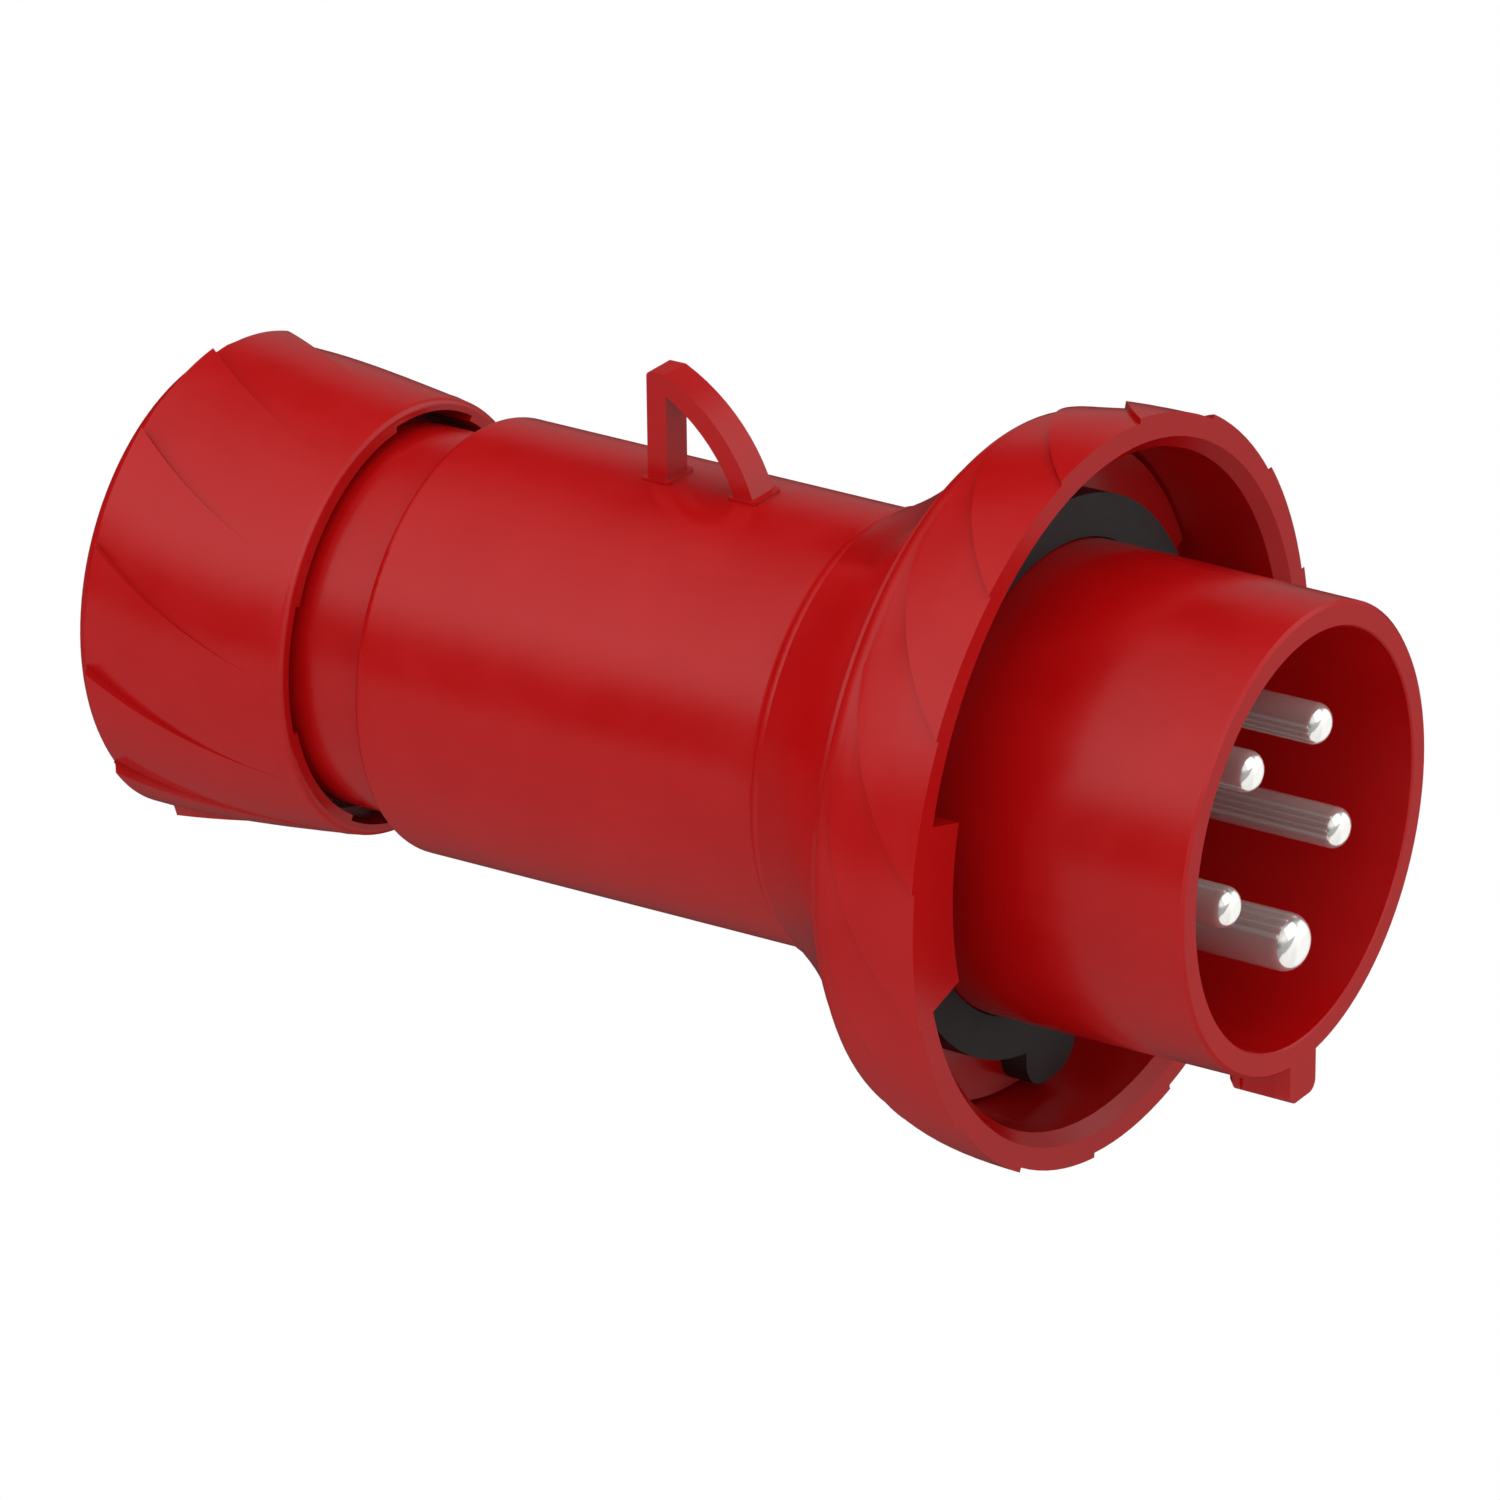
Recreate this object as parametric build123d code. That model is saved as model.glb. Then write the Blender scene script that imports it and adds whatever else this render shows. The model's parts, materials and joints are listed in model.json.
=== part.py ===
"""Industrial pin and sleeve plug: three phases, neutral and earth, with a watertight locking ring.

Frame: millimetres, +Z runs along the plug from the cable end to the contacts.
The origin is on the plug's axis, in the plane of the gland nut's rear face.
Angles round the plug are clock angles: 0 is on the side of the hanging loop (-Y), and they grow
towards -X, so 180 is the side of the earth contact and the keyway rib.
"""
from build123d import *
import math
import os

# Lengths along the plug, each from where the one before it ends
NUT_LENGTH = 30.2
NECK_SHOWN = 10.3
GRIP_LENGTH = 58.0
FLARE_LENGTH = 16.4
FLANGE_THICKNESS = 3.4
SHROUD_LENGTH = 38.0

# Clearances, the height by which plain surfaces and faded leaves stand clear of each other, and how
# far cuts and joined bars reach past a face
MOVING_GAP = 0.3
SEAT_GAP = 0.1
SCREW_GAP = 0.05
LEAF_SEAT = 0.04
HALF_TURN = 180.0
REACH_PAST = 1.0

# Shroud with its floor, flange and spigot
SHROUD_RADIUS = 28.5
SHROUD_DRAFT = 0.35
SHROUD_WALL = 3.14
SHROUD_DEPTH = 40.3
FLOOR_THICKNESS = 3.5
RIM_ROUNDING = 0.4
FLANGE_RADIUS = 40.0
FLANGE_LIP_WIDTH = 1.5
FLANGE_HUB_RADIUS = FLANGE_RADIUS - FLANGE_LIP_WIDTH
FLANGE_LIP_THICKNESS = 1.0
SPIGOT_LENGTH = 20.0
SPIGOT_WALL = 2.3
KEY_WIDTH = 6.0
KEY_HEIGHT = 4.65
KEY_LENGTH = 8.6
KEY_ROUNDING = 1.4
KEY_WAIST = 0.8
KEY_WAIST_LENGTH = 4.6
KEY_WAIST_INSET = 2.2
BOSS_RADIUS = 3.2
BOSS_LENGTH = 6.5

# Contacts: five round pins on one circle, the earth pin thicker and longer than the others
PIN_CIRCLE_RADIUS = 13.58
PIN_RADIUS = 2.5
PIN_SETBACK = 1.9
EARTH_PIN_RADIUS = 3.5
EARTH_PIN_SETBACK = 0.1
PIN_END_ROUNDING = 0.72
PIN_LAND = 0.25
BARREL_WALL = 2.4
BARREL_SHOULDER = 0.5
WIRE_BORE_RADIUS = 1.9
EARTH_WIRE_BORE_RADIUS = 2.3
WIRE_BORE_DEPTH = 14.0
EARTH_CLOCK = 180.0
PIN_NAMES = ["earth", "l1", "l2", "l3", "neutral"]

# Insulating carrier behind the floor, its rear cap and its two long screws
CARRIER_LENGTH = 28.5
CARRIER_CHAMFER = 0.8
CAP_THICKNESS = 2.5
CAP_CHAMFER = 0.6
CAP_FUNNEL = 0.9
CARRIER_SCREW_CIRCLE = 15.0
CARRIER_SCREW_CLOCK = 72.0
CARRIER_SCREW_RADIUS = 1.5
CARRIER_SCREW_BITE = 4.0
CARRIER_SCREW_HEAD_RADIUS = 2.9
CARRIER_SCREW_HEAD_HEIGHT = 2.0
TERMINAL_SCREW_RADIUS = 1.75
TERMINAL_SCREW_HEAD_RADIUS = 2.7
TERMINAL_SCREW_HEAD_HEIGHT = 2.0
TERMINAL_SCREW_FROM_END = 6.0
SCREW_CHAMFER = 0.3
DRIVER_SLOT_WIDTH = 0.8
DRIVER_SLOT_DEPTH = 1.0

# Rubber flange gasket with its tab
GASKET_WIDTH = 5.7
GASKET_RADIUS = SHROUD_RADIUS + GASKET_WIDTH
GASKET_THICKNESS = 3.6
GASKET_TAB_LENGTH = 5.0
GASKET_TAB_REACH = GASKET_RADIUS + GASKET_TAB_LENGTH
GASKET_TAB_WIDTH = 11.4
GASKET_TAB_ROUNDING = 4.2

# Locking ring: a bell with 16 overlapping leaves, a retaining lip and two bayonet lugs
RING_LENGTH = 15.6
RING_WALL = 4.7
RING_INNER_GAP = 1.2
RING_INNER_RADIUS = FLANGE_RADIUS + RING_INNER_GAP
RING_RADIUS = RING_INNER_RADIUS + RING_WALL
RING_DRAFT = 0.05
RING_SHOULDER = 3.1
RING_REAR_ROUNDING = 2.0
RING_LEAVES = 16
RING_LEAF_RISE = 0.6
RING_LEAF_SWELL = 0.75
RING_LEAF_CLOCK = 6.0
RING_LEAF_LENGTH = 13.0
RING_LEAF_LEAN = 15.6
RING_LEAF_CURL = 18.5
RING_LEAF_CURL_SHARE = 0.985
RING_LEAF_STATIONS = [0, 0.3, 0.57, 0.76, 0.89, 1]
RING_MOUTH_CHAMFER = 1.5
RING_LIP_THICKNESS = 1.5
LUG_CLOCK = -90.0
LUG_SPAN = 31.5
LUG_HEIGHT = 4.4
LUG_INNER_RADIUS = RING_INNER_RADIUS - LUG_HEIGHT
LUG_LENGTH = 5.5
RING_TURN = 50.0
STOP_TAB_SPAN = 8.0
STOP_TAB_CLOCK = 120.0
STOP_TAB_HEIGHT = 0.9
STOP_GAP_DEG = 0.6

# Handle: neck, grip, flare and hanging loop
NECK_RADIUS = 24.0
NECK_LENGTH = 28.5
NECK_END_CHAMFER = 0.8
NECK_LAND = 1.2
THREAD_ROOT_RADIUS = 23.1
THREAD_LENGTH = 13.0
NECK_BORE_RADIUS = 20.3
NECK_SEAT_DEPTH = 19.0
NECK_THROAT_RADIUS = 16.5
NECK_THROAT_LENGTH = 5.0
GRIP_RADIUS = 27.0
GRIP_TAPER = 0.3
GRIP_WALL = 2.6
SHOULDER_ROUNDING = 1.0
STEP_HEIGHT = 0.85
STEP_LENGTH = 1.5
STEP_LAND = 0.3
FLARE_OVERHANG = 0.9
FLARE_RADIUS = FLANGE_RADIUS + FLARE_OVERHANG
FLARE_HOLLOW = 1.15
FLARE_EDGE = 0.6
FLARE_RIM_WIDTH = 6.2
FLARE_RIM_THICKNESS = 2.8
FLARE_ROOT = 1.0
LOOP_FROM_SHOULDER = 26.4
LOOP_LENGTH = 15.0
LOOP_HEIGHT = 13.85
LOOP_BAR = 2.7
LOOP_WIDTH = 4.5
LOOP_BOW = 1.9
LOOP_WINDOW_BOW = 1.3
LOOP_CORNER = 0.6
LOOP_PAD = 0.7
LOOP_PAD_HEIGHT = 0.4

# Round seal between the flange and the handle
SEAL_SECTION_RADIUS = 0.9
SEAL_FROM_HUB = 2.1
SEAL_CIRCLE_RADIUS = FLANGE_HUB_RADIUS - SEAL_FROM_HUB

# Cable gland: nut, thrust washer, clamping basket and rubber seal
NUT_FRONT_RADIUS = 27.4
NUT_REAR_RADIUS = 29.5
NUT_REAR_ROUNDING = 3.0
NUT_LEAVES = 12
NUT_LEAF_RISE = 1.5
NUT_LEAF_FADE = 1.9
NUT_LEAF_END = 0.1
NUT_LEAF_CLOCK = -3.3
NUT_LEAF_LENGTH = 25.5
NUT_LEAF_START = 2.4
NUT_LEAF_BEVEL = 0.5
NUT_LEAF_LEAN = 33.7
NUT_LEAF_CURL = 9.4
NUT_LEAF_STATIONS = [0, 0.2, 0.43, 0.7, 1]
NUT_MOUTH_RADIUS = 12.5
NUT_MOUTH_ROUNDING = 2.0
NUT_REAR_WALL = 5.0
NUT_RIM_ROUNDING = 0.9
NUT_COUNTERBORE_RADIUS = 25.3
NUT_COUNTERBORE_DEPTH = 9.0
NUT_RECESS_DEPTH = 0.7
NUT_RECESS_LENGTH = 6.0
NUT_RECESS_SPAN = 37.0
NUT_RECESS_CLOCKS = [14.0, -85.5]
WASHER_THICKNESS = 1.8
WASHER_HOLE_RADIUS = 12.8
WASHER_RADIUS = 21.5
BASKET_WALL = 2.6
BASKET_BASE = 4.0
BASKET_FINGERS = 10
BASKET_SLOT = 2.4
BASKET_TIP_RADIUS = 16.6
BASKET_TIP_LENGTH = 4.0
BASKET_LIP_RADIUS = 13.4
BASKET_LIP_THICKNESS = 2.2
CABLE_BORE_RADIUS = 8.0
CABLE_BORE_CHAMFER = 1.2

# Levels along Z that the pieces share
Z_SHOULDER = NUT_LENGTH + NECK_SHOWN
Z_CREASE = Z_SHOULDER + GRIP_LENGTH
Z_FLARE = Z_CREASE + FLARE_LENGTH
Z_FLANGE = Z_FLARE + FLANGE_THICKNESS
Z_RIM = Z_FLANGE + SHROUD_LENGTH
Z_FLOOR = Z_RIM - SHROUD_DEPTH
Z_FLOOR_REAR = Z_FLOOR - FLOOR_THICKNESS
Z_CARRIER_REAR = Z_FLOOR_REAR - CARRIER_LENGTH
Z_CAP_REAR = Z_CARRIER_REAR - CAP_THICKNESS
Z_RING_REAR = Z_FLARE + MOVING_GAP
Z_RING_FRONT = Z_RING_REAR + RING_LENGTH
Z_NECK_REAR = Z_SHOULDER - NECK_LENGTH
Z_NECK_SEAT = Z_NECK_REAR + NECK_SEAT_DEPTH
Z_WASHER_REAR = NUT_REAR_WALL + MOVING_GAP
Z_BASKET_REAR = Z_WASHER_REAR + WASHER_THICKNESS + MOVING_GAP

GRIP_BORE_RADIUS = GRIP_RADIUS - GRIP_WALL
SPIGOT_RADIUS = GRIP_BORE_RADIUS - SEAT_GAP
SPIGOT_BORE_RADIUS = SPIGOT_RADIUS - SPIGOT_WALL
CARRIER_RADIUS = SPIGOT_BORE_RADIUS - SEAT_GAP
SHROUD_BORE_RADIUS = SHROUD_RADIUS - SHROUD_WALL
SHROUD_ROOT_RADIUS = SHROUD_RADIUS + SHROUD_DRAFT
FLARE_RIM_BORE = FLARE_RADIUS - FLARE_RIM_WIDTH
BASKET_RADIUS = NECK_BORE_RADIUS - SEAT_GAP
BASKET_BORE_RADIUS = BASKET_RADIUS - BASKET_WALL
GLAND_SEAL_RADIUS = BASKET_BORE_RADIUS - SEAT_GAP
THREAD_BORE_RADIUS = NECK_RADIUS + MOVING_GAP


def around(clock):
    """Turn about the plug's axis that takes the +X side to a clock angle."""
    return Rot(0, 0, -90 - clock)


def on_axis(radius, clock, z):
    """Place at a radius and clock angle, at the height z."""
    return around(clock) * Pos(radius, 0, z)


def polar(radius, degrees):
    """Point of a flat section, given by its radius and direction."""
    return (radius * math.cos(math.radians(degrees)), radius * math.sin(math.radians(degrees)))


def turned(*corners):
    """Solid turned about the plug's axis from corners given as (radius, z)."""
    return revolve(Plane.XZ * make_face(Polyline(*corners, close=True)), Axis.Z)


def turned_path(*lines):
    """Solid turned about the plug's axis from lines and arcs that close a profile."""
    return revolve(Plane.XZ * make_face(lines), Axis.Z)


def rod(radius, z_low, z_high):
    """Round bar along the plug's axis."""
    return Pos(0, 0, z_low) * Cylinder(radius, z_high - z_low, align=(Align.CENTER, Align.CENTER, Align.MIN))


def tube(outer, inner, z_low, z_high):
    """Straight tube along the plug's axis."""
    return rod(outer, z_low, z_high) - rod(inner, z_low, z_high)


def sector(inner, outer, z_low, z_high, clock, span):
    """Part of a ring that is centred on a clock angle and spans some degrees."""
    section = Plane.XZ * Pos((inner + outer) / 2, (z_low + z_high) / 2) * Rectangle(outer - inner, z_high - z_low)
    return Rot(0, 0, -90 - clock - span / 2) * revolve(section, Axis.Z, span)


def leaf_section(z, radius, rise, leaves, first, rise_at_start):
    """Round section whose edge is a saw-tooth of arcs, one tooth for each leaf."""
    pitch = 360 / leaves
    start_radius = radius + rise if rise_at_start else radius
    end_radius = radius if rise_at_start else radius + rise
    edges = []
    for leaf in range(leaves):
        start = first + leaf * pitch
        end = start + pitch
        middle = polar((start_radius + end_radius) / 2, start + pitch / 2)
        edges.append(ThreePointArc(polar(start_radius, start), middle, polar(end_radius, end)))
        edges.append(Line(polar(end_radius, end), polar(start_radius, end)))
    return Plane.XY.offset(z) * make_face(edges)


def ring_radius(back):
    """Outer radius of the locking ring's leaf edges at a distance behind its front rim."""
    return RING_RADIUS - RING_DRAFT * back - RING_SHOULDER * (back / RING_LENGTH) ** 4


def ring_leaf_rise(share):
    """Height of a ring leaf's edge, which swells towards the rear, at a share of the leaf's length."""
    return RING_LEAF_RISE * (1 + RING_LEAF_SWELL * math.sin(math.pi * share ** 3))


def ring_leaf_sweep(share):
    """Degrees by which a ring leaf has curved round at a share of its length behind the rim."""
    curled = 1 - math.sqrt(1 - (RING_LEAF_CURL_SHARE * share) ** 2)
    return RING_LEAF_LEAN * share + RING_LEAF_CURL * curled


def nut_radius(z):
    """Outer radius of the gland nut's body under its leaves, which falls faster towards the front."""
    return NUT_REAR_RADIUS + (NUT_FRONT_RADIUS - NUT_REAR_RADIUS) * (z / NUT_LENGTH) ** 2


def nut_leaf_rise(share):
    """Height of a nut leaf's edge, highest at the rear and fading towards the front."""
    return NUT_LEAF_RISE * max(1 - share, NUT_LEAF_END) ** NUT_LEAF_FADE


def nut_leaf_sweep(share):
    """Degrees by which a nut leaf has curved round at a share of its length from its rear end."""
    return NUT_LEAF_LEAN * share - NUT_LEAF_CURL * share ** 2


def pin_sizes(name):
    """Radius, setback and wire bore of a contact pin."""
    if name == "earth":
        return EARTH_PIN_RADIUS, EARTH_PIN_SETBACK, EARTH_WIRE_BORE_RADIUS
    return PIN_RADIUS, PIN_SETBACK, WIRE_BORE_RADIUS


def pin_clock(name):
    """Clock angle of a contact pin: five even steps from the earth pin."""
    return EARTH_CLOCK + PIN_NAMES.index(name) * 360 / len(PIN_NAMES)


def barrel_radius(name):
    """Outer radius of the terminal barrel behind a contact pin."""
    return pin_sizes(name)[2] + BARREL_WALL


def make_front_housing():
    """Shroud, floor, flange and spigot, moulded as one piece."""
    z_spigot = Z_FLARE - SPIGOT_LENGTH
    z_lip = Z_FLANGE - FLANGE_LIP_THICKNESS
    body = turned(
        (0, Z_FLOOR_REAR),
        (SPIGOT_BORE_RADIUS, Z_FLOOR_REAR),
        (SPIGOT_BORE_RADIUS, z_spigot),
        (SPIGOT_RADIUS, z_spigot),
        (SPIGOT_RADIUS, Z_FLARE),
        (FLANGE_HUB_RADIUS, Z_FLARE),
        (FLANGE_HUB_RADIUS, z_lip),
        (FLANGE_RADIUS, z_lip),
        (FLANGE_RADIUS, Z_FLANGE),
        (SHROUD_ROOT_RADIUS, Z_FLANGE),
        (SHROUD_RADIUS, Z_RIM - RIM_ROUNDING),
        (SHROUD_RADIUS - RIM_ROUNDING, Z_RIM),
        (SHROUD_BORE_RADIUS + RIM_ROUNDING / 2, Z_RIM),
        (SHROUD_BORE_RADIUS, Z_RIM - RIM_ROUNDING / 2),
        (SHROUD_BORE_RADIUS, Z_FLOOR),
        (0, Z_FLOOR),
    )
    body += make_key()
    for side in (-1, 1):
        boss = rod(BOSS_RADIUS, Z_FLOOR_REAR - BOSS_LENGTH, Z_FLOOR_REAR)
        body += around(side * CARRIER_SCREW_CLOCK) * Pos(CARRIER_SCREW_CIRCLE, 0, 0) * boss
    for side in (-1, 1):
        z_tip = Z_FLOOR_REAR - BOSS_LENGTH + CARRIER_SCREW_BITE + REACH_PAST
        pilot = rod(CARRIER_SCREW_RADIUS + SCREW_GAP, Z_FLOOR_REAR - BOSS_LENGTH, z_tip)
        body -= around(side * CARRIER_SCREW_CLOCK) * Pos(CARRIER_SCREW_CIRCLE, 0, 0) * pilot
    for name in PIN_NAMES:
        hole = rod(pin_sizes(name)[0] + PIN_LAND + SEAT_GAP, Z_FLOOR_REAR, Z_FLOOR)
        body -= around(pin_clock(name)) * Pos(PIN_CIRCLE_RADIUS, 0, 0) * hole
    for clock in (STOP_TAB_CLOCK, STOP_TAB_CLOCK + HALF_TURN):
        body -= stop_notch(clock)
    return body


def make_key():
    """Rib at the earth side of the shroud, waisted at its middle, that lets only a matching inlet in."""
    inside = SHROUD_RADIUS - SHROUD_WALL / 2
    reach = SHROUD_RADIUS + KEY_HEIGHT
    key = Box(reach - inside, KEY_WIDTH, KEY_LENGTH, align=(Align.MIN, Align.CENTER, Align.MAX))
    key = Pos(inside, 0, 0) * key
    outer_edges = key.edges().filter_by(Axis.Z).group_by(Axis.X)[-1]
    key = fillet(outer_edges, KEY_ROUNDING)
    rear_edges = key.faces().sort_by(Axis.Z)[0].edges().filter_by(lambda edge: edge.center().X > inside + SEAT_GAP)
    key = chamfer(rear_edges, KEY_WAIST)
    for side in (-1, 1):
        waist = Box(2 * KEY_HEIGHT, KEY_WAIST, KEY_WAIST_LENGTH, align=(Align.MIN, Align.CENTER, Align.MAX))
        key -= Pos(SHROUD_RADIUS, side * KEY_WIDTH / 2, -KEY_WAIST_INSET) * waist
    return around(EARTH_CLOCK) * Pos(0, 0, Z_RIM) * key


def stop_notch(clock):
    """Arc cut in the flange's lip along which a stop tab of the locking ring runs."""
    span = RING_TURN + STOP_TAB_SPAN + 2 * STOP_GAP_DEG
    middle = clock - RING_TURN / 2
    z_low = Z_FLANGE - FLANGE_LIP_THICKNESS - REACH_PAST
    return sector(FLANGE_HUB_RADIUS, FLANGE_RADIUS + REACH_PAST, z_low, Z_FLANGE, middle, span)


def make_pin(name):
    """Contact pin with a domed end, and behind the floor its terminal barrel for the wire."""
    radius, setback, bore = pin_sizes(name)
    z_tip = Z_RIM - setback
    z_shoulder = Z_FLOOR_REAR - SEAT_GAP
    z_end = Z_CARRIER_REAR + SEAT_GAP
    shank = rod(radius, z_shoulder, z_tip)
    shank = fillet(shank.edges().group_by(Axis.Z)[-1], radius * PIN_END_ROUNDING)
    shank += rod(radius + PIN_LAND, z_shoulder, Z_FLOOR)
    cone = Cone(radius + PIN_LAND, radius, PIN_LAND, align=(Align.CENTER, Align.CENTER, Align.MIN))
    shank += Pos(0, 0, Z_FLOOR) * cone
    barrel = rod(barrel_radius(name), z_end, z_shoulder)
    barrel = chamfer(barrel.edges().group_by(Axis.Z)[-1], barrel_radius(name) - radius - BARREL_SHOULDER)
    pin = shank + barrel - rod(bore, z_end, z_end + WIRE_BORE_DEPTH)
    screw_hole = rod(TERMINAL_SCREW_RADIUS, 0, 2 * barrel_radius(name))
    pin -= Pos(0, 0, Z_CARRIER_REAR + TERMINAL_SCREW_FROM_END) * Rot(0, 90, 0) * screw_hole
    return around(pin_clock(name)) * Pos(PIN_CIRCLE_RADIUS, 0, 0) * pin


def slotted_screw(radius, length, head_radius, head_height):
    """Cheese-head screw, standing on its shank, with the slot in its head."""
    head = Pos(0, 0, length) * Cylinder(head_radius, head_height, align=(Align.CENTER, Align.CENTER, Align.MIN))
    head = chamfer(head.edges().group_by(Axis.Z)[-1], SCREW_CHAMFER)
    slot_floor = length + head_height - DRIVER_SLOT_DEPTH
    upright = (Align.CENTER, Align.CENTER, Align.MIN)
    slot = Box(3 * head_radius, DRIVER_SLOT_WIDTH, 2 * DRIVER_SLOT_DEPTH, align=upright)
    shank = Cylinder(radius, length, align=(Align.CENTER, Align.CENTER, Align.MIN))
    shank = chamfer(shank.edges().group_by(Axis.Z)[0], SCREW_CHAMFER)
    return shank + head - Pos(0, 0, slot_floor) * slot


def make_terminal_screw(name):
    """Screw that clamps the wire in a pin's barrel, reached from the side of the carrier."""
    outside = barrel_radius(name)
    bore = pin_sizes(name)[2]
    length = outside - bore / 2
    screw = slotted_screw(
        TERMINAL_SCREW_RADIUS - SCREW_GAP,
        length,
        TERMINAL_SCREW_HEAD_RADIUS,
        TERMINAL_SCREW_HEAD_HEIGHT,
    )
    lift = PIN_CIRCLE_RADIUS + bore / 2 + SCREW_GAP
    return on_axis(lift, pin_clock(name), Z_CARRIER_REAR + TERMINAL_SCREW_FROM_END) * Rot(0, 90, 0) * screw


def make_contact_carrier():
    """Insulating block behind the floor, bored for the barrels, the bosses and the screws."""
    carrier = rod(CARRIER_RADIUS, Z_CARRIER_REAR, Z_FLOOR_REAR)
    carrier = chamfer(carrier.edges().group_by(Axis.Z)[0], CARRIER_CHAMFER)
    for name in PIN_NAMES:
        pocket = rod(barrel_radius(name) + SEAT_GAP, Z_CARRIER_REAR, Z_FLOOR_REAR)
        carrier -= around(pin_clock(name)) * Pos(PIN_CIRCLE_RADIUS, 0, 0) * pocket
        window = rod(TERMINAL_SCREW_HEAD_RADIUS + MOVING_GAP, 0, CARRIER_RADIUS)
        z_window = Z_CARRIER_REAR + TERMINAL_SCREW_FROM_END
        carrier -= on_axis(PIN_CIRCLE_RADIUS, pin_clock(name), z_window) * Rot(0, 90, 0) * window
    for side in (-1, 1):
        boss_seat = rod(BOSS_RADIUS + SEAT_GAP, Z_FLOOR_REAR - BOSS_LENGTH - SEAT_GAP, Z_FLOOR_REAR)
        passage = rod(CARRIER_SCREW_RADIUS + SEAT_GAP, Z_CARRIER_REAR, Z_FLOOR_REAR)
        carrier -= around(side * CARRIER_SCREW_CLOCK) * Pos(CARRIER_SCREW_CIRCLE, 0, 0) * (boss_seat + passage)
    return carrier


def make_carrier_cap():
    """Plate that closes the carrier from behind, with a funnel for each wire."""
    cap = rod(CARRIER_RADIUS, Z_CAP_REAR, Z_CARRIER_REAR)
    cap = chamfer(cap.edges().group_by(Axis.Z)[0], CAP_CHAMFER)
    for name in PIN_NAMES:
        bore = pin_sizes(name)[2] + SEAT_GAP
        funnel = Pos(0, 0, Z_CAP_REAR) * Cone(
            bore + CAP_FUNNEL, bore, CAP_THICKNESS, align=(Align.CENTER, Align.CENTER, Align.MIN)
        )
        cap -= around(pin_clock(name)) * Pos(PIN_CIRCLE_RADIUS, 0, 0) * funnel
    for side in (-1, 1):
        passage = rod(CARRIER_SCREW_RADIUS + SEAT_GAP, Z_CAP_REAR, Z_CARRIER_REAR)
        cap -= around(side * CARRIER_SCREW_CLOCK) * Pos(CARRIER_SCREW_CIRCLE, 0, 0) * passage
    return cap


def make_carrier_screw(side):
    """Long screw through the cap and the carrier into a boss of the floor."""
    length = CAP_THICKNESS + CARRIER_LENGTH - BOSS_LENGTH + CARRIER_SCREW_BITE
    screw = slotted_screw(CARRIER_SCREW_RADIUS, length, CARRIER_SCREW_HEAD_RADIUS, CARRIER_SCREW_HEAD_HEIGHT)
    screw = Pos(0, 0, Z_CAP_REAR + length) * Rot(HALF_TURN, 0, 0) * screw
    return around(side * CARRIER_SCREW_CLOCK) * Pos(CARRIER_SCREW_CIRCLE, 0, 0) * screw


def make_flange_gasket():
    """Flat rubber ring on the flange, round the root of the shroud, with one pull tab."""
    z_front = Z_FLANGE + GASKET_THICKNESS
    ring = rod(GASKET_RADIUS, Z_FLANGE, z_front)
    tab_length = GASKET_TAB_REACH - SHROUD_ROOT_RADIUS
    tab = Box(tab_length, GASKET_TAB_WIDTH, GASKET_THICKNESS, align=(Align.MIN, Align.CENTER, Align.MIN))
    tab = Pos(SHROUD_ROOT_RADIUS, 0, Z_FLANGE) * tab
    tab = fillet(tab.edges().filter_by(Axis.Z).group_by(Axis.X)[-1], GASKET_TAB_ROUNDING)
    ring += around(EARTH_CLOCK) * tab
    return ring - rod(SHROUD_ROOT_RADIUS + SEAT_GAP, Z_FLANGE, z_front)


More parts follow.
